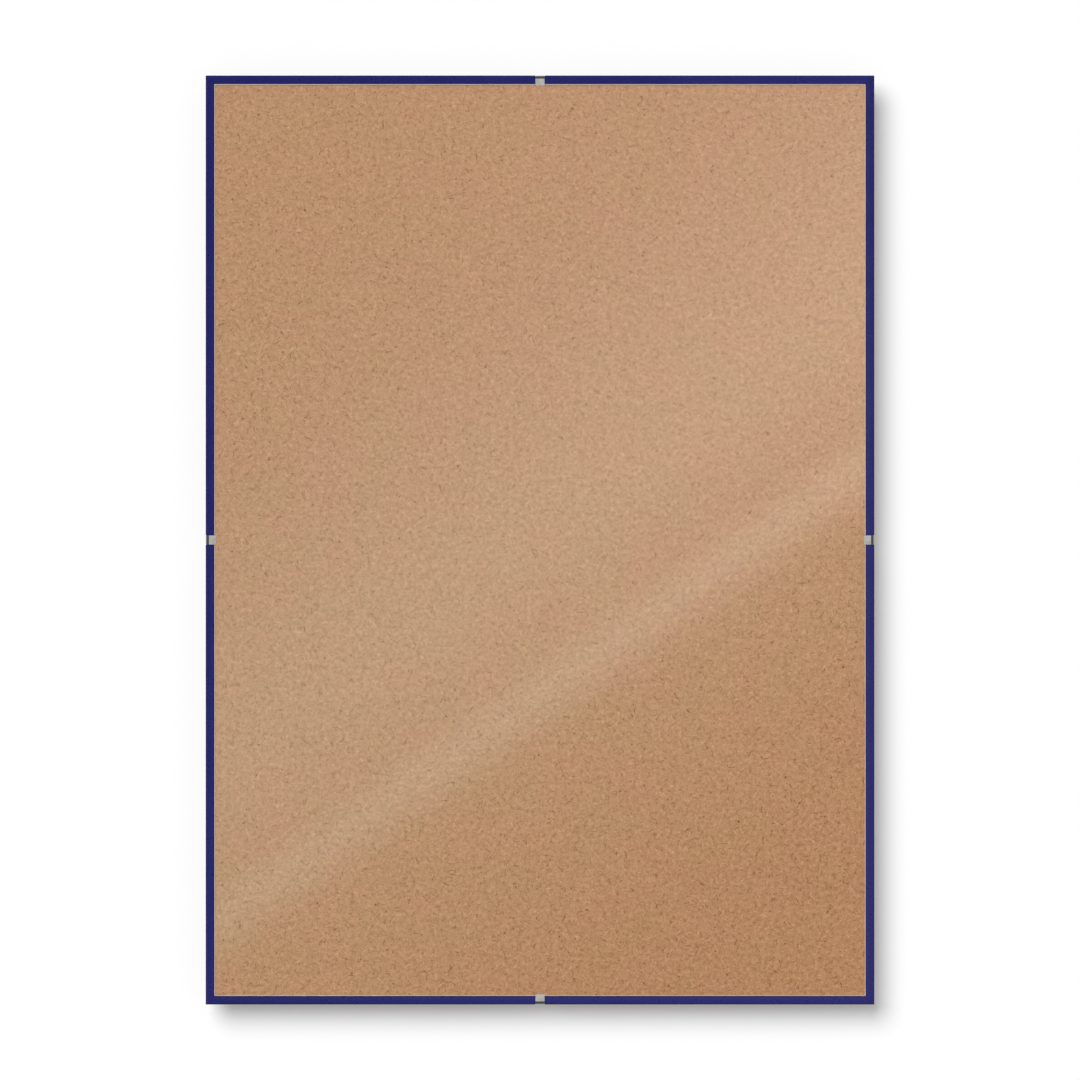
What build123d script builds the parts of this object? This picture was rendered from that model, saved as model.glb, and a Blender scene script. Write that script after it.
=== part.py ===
"""Clip frame for a 500 x 700 mm picture, held together by four spring clips.

Millimetres. +X is to the right seen from the front, +Z is up and the front faces -Y.
The origin lies on the back board's rear face, straight behind the point where a wall
hook bears on the upright hanger's ring.
"""

from build123d import *
from math import asin, cos, degrees, radians, sin
import os

# Picture stack, front to back
pane_width = 500.0
pane_height = 700.0
pane_thickness = 2.0
pane_edge_chamfer = 0.3
sheet_thickness = 0.4
board_thickness = 3.0

# Edge strips: a rim round the pane, with a groove behind it for the board's edge
rim_width = 6.5
rim_setback = 0.1
rim_crown = 0.15
rim_outer_radius = 2.0
rim_inner_radius = 0.4
strip_wall = 1.5
back_lip_width = 5.6
back_lip_thickness = 0.95
back_lip_radius = 0.4
strip_back_radius = 0.8
pane_side_clearance = 0.3
board_edge_clearance = 0.2
board_slip_clearance = 0.05
mitre_clearance = 0.06

# Spring clips: strip steel bent round the edge at the middle of each side
clip_thickness = 0.5
clip_width = 7.0
clip_lip_overlap = 1.3
clip_lip_clearance = 0.05
clip_flush_clearance = 0.05
clip_seat_clearance = 0.1
clip_side_clearance = 0.2
clip_bend_radius = 3.0
clip_corner_radius = 0.6
clip_nose_radius = 0.2
leg_standoff = 2.0
leg_corner_radius = 1.4
leg_reach = 20.6
leg_rise = 0.55
leg_bow_radius = 30.0
leg_heel_radius = 0.8
leg_heel_clearance = 0.05
tail_tip_clearance = 0.9
tail_lean = 0.6
tail_width = 4.6
slot_clearance = 0.5
slot_corner_radius = 0.6

# Ring hangers on the back board
hook_inset = 55.0
ring_wire = 1.8
ring_wire_facets = 16
ring_leg = 2.0
ring_corner_radius = 2.0
ring_side_clearance = 0.5
ring_joint_gap = 0.3
ring_running_clearance = 0.08
ring_rest_clearance = 0.1
strap_thickness = 0.5
strap_width = 9.0
strap_length = 19.0
strap_fold_length = 17.5
strap_end_flat = 1.0
strap_fold_gap = 0.06
strap_wrap_angle = 250.0
rivet_diameter = 4.0
rivet_head_diameter = 7.6
rivet_head_height = 1.3
rivet_head_rim = 0.4
rivet_set_diameter = 8.0
rivet_set_thickness = 0.8
rivet_offset = 10.5
rivet_hole_clearance = 0.1
rivet_recess_clearance = 0.3

# Overall sizes and depths, measured back from the pane's front face
edge_margin = rim_width + pane_side_clearance
outer_width = pane_width + 2 * edge_margin
outer_height = pane_height + 2 * edge_margin
board_inset = strip_wall + board_edge_clearance
board_width = outer_width - 2 * board_inset
board_height = outer_height - 2 * board_inset
board_front = pane_thickness + sheet_thickness
board_back = board_front + board_thickness
groove_back = board_back + board_slip_clearance
strip_back = groove_back + back_lip_thickness
front_y = -board_back
centre_z = hook_inset - outer_height / 2

# Clip path, as distance in from the strip's outer face and depth from the pane's front
clip_half = clip_thickness / 2
clip_lip_reach = edge_margin + clip_lip_overlap
clip_web_u = clip_flush_clearance + clip_half
clip_lip_v = -clip_lip_clearance - clip_half
clip_corner_v = strip_back + leg_standoff + clip_half
clip_heel_v = board_back + leg_heel_clearance + clip_half
clip_bow_u = (clip_web_u + leg_reach) / 2
clip_bow_v = (clip_corner_v + clip_heel_v) / 2 + leg_rise
tail_depth = board_thickness - tail_tip_clearance
clip_tail_u = leg_reach + tail_lean
clip_tail_v = board_back - tail_depth
clip_bend_u = clip_flush_clearance + clip_bend_radius
clip_bend_v = clip_lip_v - clip_half + clip_bend_radius
seat_radius = clip_bend_radius - clip_thickness - clip_seat_clearance
seat_width = clip_width + 2 * clip_side_clearance
slot_outer = leg_reach - clip_half - slot_clearance
slot_inner = clip_tail_u + clip_half + slot_clearance

# Hanger sizes, from the ring's bar outwards
wire_radius = ring_wire / 2
eye_radius = wire_radius + ring_running_clearance
ring_bar = strap_width / 2 + ring_side_clearance
ring_arc_radius = ring_bar + ring_corner_radius
ring_shoulder = ring_corner_radius + ring_leg
ring_height = ring_shoulder + ring_arc_radius
bar_height = strap_thickness + eye_radius
ring_lean = degrees(asin((bar_height - wire_radius - ring_rest_clearance) / ring_height))
hook_reach = (ring_height - wire_radius) * cos(radians(ring_lean))
strap_top = 2 * strap_thickness + strap_fold_gap
strap_end_radius = (strap_width - strap_end_flat) / 2
rivet_recess_depth = rivet_set_thickness + rivet_recess_clearance

# The four sides: direction outwards, distance of the outer face from the centre, length
SIDES = {
    "top": (Vector(0, 0, 1), outer_height / 2, outer_width),
    "right": (Vector(1, 0, 0), outer_width / 2, outer_height),
    "bottom": (Vector(0, 0, -1), outer_height / 2, outer_width),
    "left": (Vector(-1, 0, 0), outer_width / 2, outer_height),
}
FRAME_CENTRE = Vector(0, front_y, centre_z)

# The two hangers: foot of the ring's bar on the board, direction across, for each way to hang
HANGERS = {
    "upright": (Vector(0, 0, -hook_reach), Vector(-1, 0, 0)),
    "sideways": (
        Vector(hook_inset + hook_reach - outer_width / 2, 0, centre_z),
        Vector(0, 0, -1),
    ),
}


def side_plane(outward: Vector, distance: float) -> Plane:
    """Plane of a side's cross-section: x runs inwards, y to the back, z along the side."""
    inward = outward * -1
    along = inward.cross(Vector(0, 1, 0))
    return Plane(FRAME_CENTRE + outward * distance, x_dir=inward, z_dir=along)


def layer_plane(depth: float) -> Plane:
    """Plane parallel to the pane at a depth, facing forwards, with y up."""
    origin = FRAME_CENTRE + Vector(0, depth, 0)
    return Plane(origin, x_dir=(1, 0, 0), z_dir=(0, -1, 0))


def hanger_plane(foot: Vector, across: Vector) -> Plane:
    """Plane on the board's rear face: x across the strap, y towards the ring's eye."""
    return Plane(foot, x_dir=across, z_dir=(0, 1, 0))


def edge_strip(length: float) -> Part:
    """One mitred strip in its own cross-section plane, centred along its length."""
    with BuildPart() as strip:
        with BuildSketch() as profile:
            with BuildLine():
                ThreePointArc(
                    (0, rim_setback + rim_crown),
                    (rim_width / 2, rim_setback),
                    (rim_width, rim_setback + rim_crown),
                )
                Polyline(
                    (rim_width, rim_setback + rim_crown),
                    (rim_width, board_front),
                    (strip_wall, board_front),
                    (strip_wall, groove_back),
                    (back_lip_width, groove_back),
                    (back_lip_width, strip_back),
                    (0, strip_back),
                    (0, rim_setback + rim_crown),
                )
            make_face()
            corners = profile.vertices()
            fillet(corners.sort_by_distance((0, rim_setback))[0], rim_outer_radius)
            fillet(corners.sort_by_distance((rim_width, rim_setback))[0], rim_inner_radius)
            fillet(corners.sort_by_distance((0, strip_back))[0], strip_back_radius)
            fillet(corners.sort_by_distance((back_lip_width, strip_back))[0], back_lip_radius)
        extrude(amount=length / 2, both=True)
        for end in (-1, 1):
            corner = (0, 0, end * (length / 2 - mitre_clearance))
            split(bisect_by=Plane(corner, z_dir=(-1, 0, -end)), keep=Keep.TOP)
        with BuildSketch():
            with BuildLine():
                CenterArc((clip_bend_u, clip_bend_v), seat_radius, 180, 90)
                Polyline(
                    (clip_bend_u, clip_bend_v - seat_radius),
                    (clip_bend_u, -rim_outer_radius),
                    (-rim_outer_radius, -rim_outer_radius),
                    (-rim_outer_radius, strip_back + rim_outer_radius),
                    (clip_bend_u - seat_radius, strip_back + rim_outer_radius),
                    (clip_bend_u - seat_radius, clip_bend_v),
                )
            make_face()
        extrude(amount=seat_width / 2, both=True, mode=Mode.SUBTRACT)
    return strip.part


def spring_clip() -> Part:
    """One clip in the cross-section plane of a side: lip, web, bowed leg and tail."""
    with BuildPart() as clip:
        with BuildSketch() as profile:
            with BuildLine() as bend_line:
                FilletPolyline(
                    (clip_lip_reach, clip_lip_v),
                    (clip_web_u, clip_lip_v),
                    (clip_web_u, clip_corner_v),
                    (clip_bow_u, clip_bow_v),
                    (leg_reach, clip_heel_v),
                    (clip_tail_u, clip_tail_v),
                    radius=[
                        clip_bend_radius - clip_half,
                        leg_corner_radius - clip_half,
                        leg_bow_radius,
                        leg_heel_radius - clip_half,
                    ],
                )
            trace(bend_line.line, line_width=clip_thickness)
            lip_end = profile.vertices().sort_by_distance((clip_lip_reach, clip_lip_v))
            fillet(lip_end[:2], clip_nose_radius)
        extrude(amount=clip_width / 2, both=True)
        with BuildSketch(Plane.XZ.offset(-clip_lip_v)):
            with Locations((clip_lip_reach, 0)):
                Rectangle(clip_corner_radius, clip_width, align=(Align.MAX, Align.CENTER))
                RectangleRounded(
                    clip_lip_reach,
                    clip_width,
                    clip_corner_radius,
                    align=(Align.MAX, Align.CENTER),
                    mode=Mode.SUBTRACT,
                )
        extrude(amount=clip_thickness, both=True, mode=Mode.SUBTRACT)
        shoulder = (clip_width - tail_width) / 2
        for side in (-1, 1):
            with Locations((clip_tail_u, board_back, side * clip_width / 2)):
                Box(
                    2 * leg_heel_radius + 2 * tail_lean,
                    2 * tail_depth,
                    2 * shoulder,
                    align=(Align.CENTER, Align.MAX, Align.CENTER),
                    mode=Mode.SUBTRACT,
                )
    return clip.part


def hanger_strap() -> Part:
    """Strap folded round the ring's bar, in the hanger plane."""
    half = strap_thickness / 2
    loop_radius = eye_radius + half
    back_turn = strap_wrap_angle - 180
    fold_height = strap_top - half
    loop_end = bar_height - loop_radius * cos(radians(strap_wrap_angle))
    fold_radius = (loop_end - fold_height) / (1 - cos(radians(back_turn)))
    with BuildPart() as strap:
        with BuildSketch(Plane.YZ):
            with BuildLine() as bend_line:
                under = Line((-strap_length, half), (0, half))
                loop = JernArc(under @ 1, under % 1, loop_radius, strap_wrap_angle)
                settle = JernArc(loop @ 1, loop % 1, fold_radius, -back_turn)
                Line(settle @ 1, (-strap_fold_length, fold_height))
            trace(bend_line.line, line_width=strap_thickness)
        extrude(amount=strap_width / 2, both=True)
        for height, reach in ((half, strap_length), (fold_height, strap_fold_length)):
            end = strap.faces().sort_by_distance((0, -reach, height))[0]
            fillet(end.edges().filter_by(Axis.Z), strap_end_radius)
        with Locations((0, -rivet_offset, strap_top)):
            Hole(rivet_diameter / 2 + rivet_hole_clearance, depth=strap_top)
    return strap.part


def hanger_ring() -> Part:
    """D-ring leaning on the board, its finely faceted wire's ends meeting inside the strap."""
    lean = radians(ring_lean)
    plane = Plane((0, 0, bar_height), x_dir=(1, 0, 0), z_dir=(0, sin(lean), cos(lean)))
    with BuildPart() as ring:
        with BuildLine(plane) as half_wire:
            Line((ring_joint_gap / 2, 0), (ring_bar, 0))
            JernArc((ring_bar, 0), (1, 0), ring_corner_radius, 90)
            Line((ring_arc_radius, ring_corner_radius), (ring_arc_radius, ring_shoulder))
            CenterArc((0, ring_shoulder), ring_arc_radius, 0, 90)
            mirror(about=Plane.YZ)
        wire = half_wire.wires()[0]
        with BuildSketch(Plane(wire @ 0, z_dir=wire % 0)):
            RegularPolygon(wire_radius, ring_wire_facets)
        sweep(path=wire)
    return ring.part


def hanger_rivet() -> Part:
    """Rivet through the strap and board, its set end sunk in the board's front."""
    set_floor = -board_thickness + rivet_recess_depth
    with BuildPart() as rivet:
        with BuildSketch(Plane.XZ):
            with BuildLine():
                dome = TangentArc(
                    (0, strap_top + rivet_head_height),
                    (rivet_head_diameter / 2, strap_top + rivet_head_rim),
                    tangent=(1, 0),
                )
                Polyline(
                    dome @ 1,
                    (rivet_head_diameter / 2, strap_top),
                    (rivet_diameter / 2, strap_top),
                    (rivet_diameter / 2, set_floor),
                    (rivet_set_diameter / 2, set_floor),
                    (rivet_set_diameter / 2, set_floor - rivet_set_thickness),
                    (0, set_floor - rivet_set_thickness),
                    dome @ 0,
                )
            make_face()
        revolve(axis=Axis.Z)
    with BuildPart() as placed:
        with Locations((0, -rivet_offset, 0)):
            add(rivet.part)
    return placed.part


def write(part: Part, node: str) -> None:
    """Label a finished piece and write it as its own file."""
    part.label = node
    export_step(part, f"parts/{node}.step")


os.makedirs("parts", exist_ok=True)

# Clear pane with ground edges
with BuildPart() as pane:
    with BuildSketch(layer_plane(pane_thickness)):
        Rectangle(pane_width, pane_height)
    extrude(amount=pane_thickness)
    chamfer(pane.faces().filter_by(Axis.Y).edges(), pane_edge_chamfer)
write(pane.part, "front_pane")

# Plain sheet in the picture's place
with BuildPart() as sheet:
    with BuildSketch(layer_plane(board_front)):
        Rectangle(pane_width, pane_height)
    extrude(amount=sheet_thickness)
write(sheet.part, "insert_sheet")

# Hardboard back with a slot for each clip's tail and a sunk hole for each rivet
with BuildPart() as board:
    with BuildSketch(layer_plane(board_back)):
        Rectangle(board_width, board_height)
    extrude(amount=board_thickness)
    with BuildSketch(layer_plane(board_back)):
        slot_length = tail_width + 2 * slot_clearance
        for outward, distance, _ in SIDES.values():
            slot_centre = outward * (distance - (slot_outer + slot_inner) / 2)
            turn = 90 * abs(outward.X)
            with Locations(Location((slot_centre.X, slot_centre.Z), turn)):
                RectangleRounded(slot_length, slot_inner - slot_outer, slot_corner_radius)
    extrude(amount=board_thickness, mode=Mode.SUBTRACT)
    for foot, across in HANGERS.values():
        rivet_point = hanger_plane(foot, across).from_local_coords((0, -rivet_offset, 0))
        front_point = Vector(rivet_point.X, -board_thickness, rivet_point.Z)
        with Locations(Plane(front_point, x_dir=(1, 0, 0), z_dir=(0, -1, 0))):
            CounterBoreHole(
                rivet_diameter / 2 + rivet_hole_clearance,
                rivet_set_diameter / 2 + rivet_recess_clearance,
                rivet_recess_depth,
                board_thickness,
            )
write(board.part, "back_board")

# Edge strips and spring clips, one of each to a side
for side, (outward, distance, length) in SIDES.items():
    plane = side_plane(outward, distance)
    write(plane.from_local_coords(edge_strip(length)), f"edge_strip_{side}")
    write(plane.from_local_coords(spring_clip()), f"clip_{side}")

# Hangers for upright and sideways hanging
for way, (foot, across) in HANGERS.items():
    plane = hanger_plane(foot, across)
    write(plane.from_local_coords(hanger_strap()), f"hanger_strap_{way}")
    write(plane.from_local_coords(hanger_ring()), f"hanger_ring_{way}")
    write(plane.from_local_coords(hanger_rivet()), f"hanger_rivet_{way}")
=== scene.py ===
"""Looks of the clip frame: the finish of every surface, the fine steel pieces, light and camera.

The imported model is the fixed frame. Lengths are in metres, in the model's own axes: +X to the
right seen from the front, +Z up, and the front of the picture facing -Y.
"""

import logging
import math
from contextlib import contextmanager
from dataclasses import dataclass, replace
from enum import Enum
from typing import Any, Callable, Iterator, Sequence

import bmesh
import bpy
from mathutils import Matrix, Vector


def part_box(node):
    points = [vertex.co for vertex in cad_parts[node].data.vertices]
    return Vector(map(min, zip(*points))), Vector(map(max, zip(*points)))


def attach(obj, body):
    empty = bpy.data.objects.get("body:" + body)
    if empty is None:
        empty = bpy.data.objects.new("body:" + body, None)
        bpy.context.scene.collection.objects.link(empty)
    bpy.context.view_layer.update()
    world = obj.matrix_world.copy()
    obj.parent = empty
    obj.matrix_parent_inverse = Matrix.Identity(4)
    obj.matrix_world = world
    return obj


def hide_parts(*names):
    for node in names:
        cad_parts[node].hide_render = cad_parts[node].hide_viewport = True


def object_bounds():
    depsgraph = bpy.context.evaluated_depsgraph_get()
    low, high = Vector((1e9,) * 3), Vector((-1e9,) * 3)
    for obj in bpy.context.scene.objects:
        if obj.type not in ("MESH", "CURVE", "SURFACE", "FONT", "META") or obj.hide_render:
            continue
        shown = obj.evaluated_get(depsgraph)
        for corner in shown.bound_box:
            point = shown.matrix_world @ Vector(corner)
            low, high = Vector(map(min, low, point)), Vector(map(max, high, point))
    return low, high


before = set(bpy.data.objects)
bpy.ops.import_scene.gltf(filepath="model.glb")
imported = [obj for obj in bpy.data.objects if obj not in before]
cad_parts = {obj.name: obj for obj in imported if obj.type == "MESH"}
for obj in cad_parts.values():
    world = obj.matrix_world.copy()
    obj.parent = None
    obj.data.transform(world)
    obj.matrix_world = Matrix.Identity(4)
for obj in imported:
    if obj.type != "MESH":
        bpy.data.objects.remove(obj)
CAD_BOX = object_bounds()
MM = 0.001
LOG = logging.getLogger("clip_frame")

Triple = tuple[float, float, float]
Colour = Triple
Span = tuple[float, float]
Stops = tuple[Span, ...]
Socket = bpy.types.NodeSocket
Value = Socket | float
Paint = Socket | Colour


class Choice(Enum):
    """A choice among named options."""

    @property
    def label(self) -> str:
        """The option's name as nodes, bodies and finishes spell it."""
        return self.name.lower()


class Side(Choice):
    """A side of the frame, as the turn that brings the top side there, seen from the front."""

    TOP = 0
    RIGHT = 90
    BOTTOM = 180
    LEFT = 270

    @property
    def upright(self) -> bool:
        """True for the two sides that run up and down."""
        return self in (Side.RIGHT, Side.LEFT)

    def move(self) -> Matrix:
        """Works out the way from the top side to this one.

        Returns:
            The move from the top side's middle to this side's middle.
        """
        low, high = CAD_BOX
        centre = (low + high) / 2
        centre.y = 0.0
        half_height = high.z - centre.z
        reach = high.x if self.upright else half_height
        turn = Matrix.Rotation(math.radians(self.value), 4, "Y")
        outward = turn @ Vector((0.0, 0.0, 1.0))
        place = centre - outward * (half_height - reach)
        return Matrix.Translation(place) @ turn @ Matrix.Translation(-centre)


class Hang(Choice):
    """A way to hang the frame, as the turn that brings the upright hanger there."""

    UPRIGHT = 0
    SIDEWAYS = 270


class Grain(Choice):
    """The direction along which a piece was drawn or rolled, as how its pattern is stretched."""

    ALONG_X = (0.02, 1.0, 1.0)
    ALONG_Z = (1.0, 1.0, 0.02)


@dataclass(frozen=True)
class Pattern:
    """A cloudy pattern on a piece.

    Attributes:
        size: The size of its largest features.
        detail: How many finer layers lie over them.
        roughness: How strong each finer layer is beside the one before.
        stretch: How the place is scaled along X, Y and Z; a value below 1 draws the pattern out.
        shift: How far the place is moved, so that two patterns don't follow each other.
    """

    size: float
    detail: float = 3.0
    roughness: float = 0.5
    stretch: Triple = (1.0, 1.0, 1.0)
    shift: Triple = (0.0, 0.0, 0.0)

    def along(self, grain: Grain) -> "Pattern":
        """The same pattern drawn out along a grain."""
        return replace(self, stretch=grain.value)


class Graph:
    """Short calls that add and join the nodes of one tree.

    Attributes:
        MIX_COLOURS: The numbers of the Mix node's two colour inputs.
        MIX_RESULT: The number of its colour output.
    """

    MIX_COLOURS = (6, 7)
    MIX_RESULT = 2

    def __init__(self, tree: bpy.types.NodeTree) -> None:
        """Starts from an empty tree."""
        self.tree = tree
        tree.nodes.clear()

    def add(self, kind: str, inputs: dict[str | int, Any] | None = None, **settings: Any) -> bpy.types.Node:
        """Adds a node and fills its inputs.

        Args:
            kind: The node's type, without the ShaderNode that all of them start with.
            inputs: For an input's name or number, the socket to join or the value to set.
            settings: The node's own settings.

        Returns:
            The new node.
        """
        node = self.tree.nodes.new("ShaderNode" + kind)
        for name, value in settings.items():
            setattr(node, name, value)
        for key, value in (inputs or {}).items():
            if isinstance(value, Socket):
                self.tree.links.new(value, node.inputs[key])
            else:
                node.inputs[key].default_value = value
        return node

    def math(self, operation: str, *values: Value, clamp: bool = False) -> Socket:
        """One Math node on sockets or numbers."""
        return self.add("Math", dict(enumerate(values)), operation=operation, use_clamp=clamp).outputs[0]

    def place(self) -> Sequence[Socket]:
        """Where a point of the piece is, as X, Y and Z."""
        return self.add("SeparateXYZ", {0: self.add("TexCoord").outputs["Object"]}).outputs

    def moved(self, where: Socket, shift: Sequence[float]) -> Socket:
        """A place moved by the same step all over."""
        return self.add("VectorMath", {0: where, 1: shift}, operation="ADD").outputs[0]

    def depth_inside(self, low: Vector, high: Vector) -> Socket:
        """How far a point lies inside the nearest side of a box, seen from the front.

        Args:
            low: The box's lowest corner.
            high: The box's highest corner.

        Returns:
            The distance to the nearest of its left, right, top and bottom sides.
        """
        x, _, z = self.place()
        depths = []
        for place, start, end in ((x, low.x, high.x), (z, low.z, high.z)):
            away = self.math("ABSOLUTE", self.math("SUBTRACT", place, (start + end) / 2))
            depths.append(self.math("SUBTRACT", (end - start) / 2, away))
        return self.math("MINIMUM", *depths)

    def noise(self, pattern: Pattern, where: Socket | None = None) -> Socket:
        """Cloudy noise about 0.5.

        Args:
            pattern: How the noise looks.
            where: Where it is read, if not at the piece's own place.

        Returns:
            The noise.
        """
        if where is None:
            place = self.add("TexCoord").outputs["Object"]
            lie = {"Vector": place, "Location": pattern.shift, "Scale": pattern.stretch}
            where = self.add("Mapping", lie).outputs[0]
        look = {"Scale": 1.0 / pattern.size, "Detail": pattern.detail, "Roughness": pattern.roughness}
        return self.add("TexNoise", {"Vector": where, **look}).outputs[0]

    def cells(self, where: Socket, spacing: float) -> tuple[bpy.types.Node, Sequence[Socket]]:
        """A random mesh of cells in a plane, and three random numbers from 0 to 1 for each cell."""
        mesh = self.add("TexVoronoi", {"Vector": where, "Scale": 1.0 / spacing}, voronoi_dimensions="2D")
        return mesh, self.add("SeparateColor", {0: mesh.outputs["Color"]}).outputs

    def centred(self, value: Socket) -> Socket:
        """A pattern or random number from 0 to 1, made to swing about zero."""
        return self.math("SUBTRACT", value, 0.5)

    def weigh(self, first: Socket, second: Socket, share: float) -> Socket:
        """Two patterns added up, the first with its share and the second with the rest."""
        return self.math("MULTIPLY_ADD", first, share, self.math("MULTIPLY", second, 1.0 - share))

    def span(self, value: Socket, source: tuple[Value, Value], target: Span = (0.0, 1.0)) -> Socket:
        """Maps one span smoothly to another, and holds the ends outside.

        Args:
            value: The value to map.
            source: Where the change begins and ends, as numbers or sockets.
            target: The values before and after it.

        Returns:
            The mapped value.
        """
        inputs = {"Value": value, "From Min": source[0], "From Max": source[1]}
        inputs.update({"To Min": target[0], "To Max": target[1]})
        return self.add("MapRange", inputs, interpolation_type="SMOOTHSTEP").outputs[0]

    def ramp(self, value: Socket, stops: Sequence[Span], interpolation: str) -> Socket:
        """A grey ramp.

        Args:
            value: Place on the ramp, from 0 to 1.
            stops: The places of its stops with their levels.
            interpolation: How the ramp goes between them.

        Returns:
            The level at the place.
        """
        node = self.add("ValToRGB", {0: value})
        node.color_ramp.interpolation = interpolation
        elements = node.color_ramp.elements
        while len(elements) < len(stops):
            elements.new(1.0)
        for element, (place, level) in zip(elements, stops):
            element.position = place
            element.color = (level, level, level, 1.0)
        return node.outputs[0]

    def blend(self, factor: Value, first: Paint, second: Paint, kind: str = "MIX") -> Socket:
        """Mixes two colours, each a socket or red, green and blue.

        Args:
            factor: How much of the second there is.
            first: The colour at 0.
            second: The colour at 1.
            kind: The Mix node's way of blending.

        Returns:
            The mixed colour.
        """
        inputs = {0: factor}
        for key, colour in zip(self.MIX_COLOURS, (first, second)):
            inputs[key] = colour if isinstance(colour, Socket) else (*colour, 1.0)
        return self.add("Mix", inputs, data_type="RGBA", blend_type=kind).outputs[self.MIX_RESULT]

    def bump(self, height: Socket, depth: float, under: Socket | None = None) -> Socket:
        """A surface pattern.

        Args:
            height: The pattern.
            depth: How deep it is from 0 to 1.
            under: Another surface pattern that it lies on.

        Returns:
            The bumpy surface's normal.
        """
        inputs = {"Height": height, "Distance": depth}
        if under is not None:
            inputs["Normal"] = under
        return self.add("Bump", inputs).outputs[0]

    def either(self, factor: Socket, first: bpy.types.Node, second: bpy.types.Node) -> bpy.types.Node:
        """A shader that goes from the first to the second as the factor goes from 0 to 1."""
        return self.add("MixShader", {0: factor, 1: first.outputs[0], 2: second.outputs[0]})

    def show(self, shader: bpy.types.Node, output: str) -> None:
        """Joins the finished shader to the tree's output."""
        self.add(output, {"Surface": shader.outputs[0]})


class Finish:
    """What all finishes have in common: a name, and a material made from their own shader."""

    name: str

    def shader(self, g: Graph) -> bpy.types.Node:
        """Builds the finish's own shader in a graph."""
        raise NotImplementedError

    def material(self) -> bpy.types.Material:
        """Makes the finish's material.

        Returns:
            The material.
        """
        material = bpy.data.materials.new(self.name)
        material.use_nodes = True
        g = Graph(material.node_tree)
        g.show(self.shader(g), "OutputMaterial")
        return material


@dataclass(frozen=True)
class ClearGlass(Finish):
    """The pane's float glass: polished, with wiped smears and pale ground edges."""

    name: str = "clear_glass"
    tint: Colour = (0.985, 0.995, 0.99)
    ior: float = 1.52
    smears: Pattern = Pattern(60 * MM, 4.0, 0.6, stretch=(3.0, 1.0, 1.0))
    smear_span: Span = (0.5, 0.8)
    smear_roughness: float = 0.012
    ground_colour: Colour = (0.80, 0.66, 0.61)
    ground_cover: float = 0.6
    ground_width: float = 0.5 * MM
    ground_fade: float = 0.05 * MM
    grit: Pattern = Pattern(0.25 * MM, 2.0)
    grit_depth: float = 0.02 * MM

    def shader(self, g: Graph) -> bpy.types.Node:
        """Builds glass with frosted edges, which lets the lamps shine straight through.

        Args:
            g: The graph to add to.

        Returns:
            The shader.
        """
        glass = g.add("BsdfPrincipled", {
            "Base Color": (*self.tint, 1.0),
            "IOR": self.ior,
            "Transmission Weight": 1.0,
            "Roughness": g.span(g.noise(self.smears), self.smear_span, (0.0, self.smear_roughness)),
        })
        frost = g.add("BsdfDiffuse", {
            "Color": (*self.ground_colour, 1.0),
            "Normal": g.bump(g.noise(self.grit), self.grit_depth),
        })
        depth = g.depth_inside(*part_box("front_pane"))
        fade = (self.ground_width - self.ground_fade, self.ground_width + self.ground_fade)
        pane = g.either(g.span(depth, fade, (self.ground_cover, 0.0)), glass, frost)
        path = g.add("LightPath").outputs
        passing = g.math("MAXIMUM", path["Is Shadow Ray"], path["Is Diffuse Ray"])
        return g.either(passing, pane, g.add("BsdfTransparent"))


@dataclass(frozen=True)
class FibreLayer:
    """One kind of fibre in the paper.

    Attributes:
        spacing: How far the fibres lie apart.
        length: The longest fibre.
        strength: How far the tone moves on them: both ways, or only darker where it is below 0.
    """

    spacing: float
    length: float
    strength: float


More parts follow.
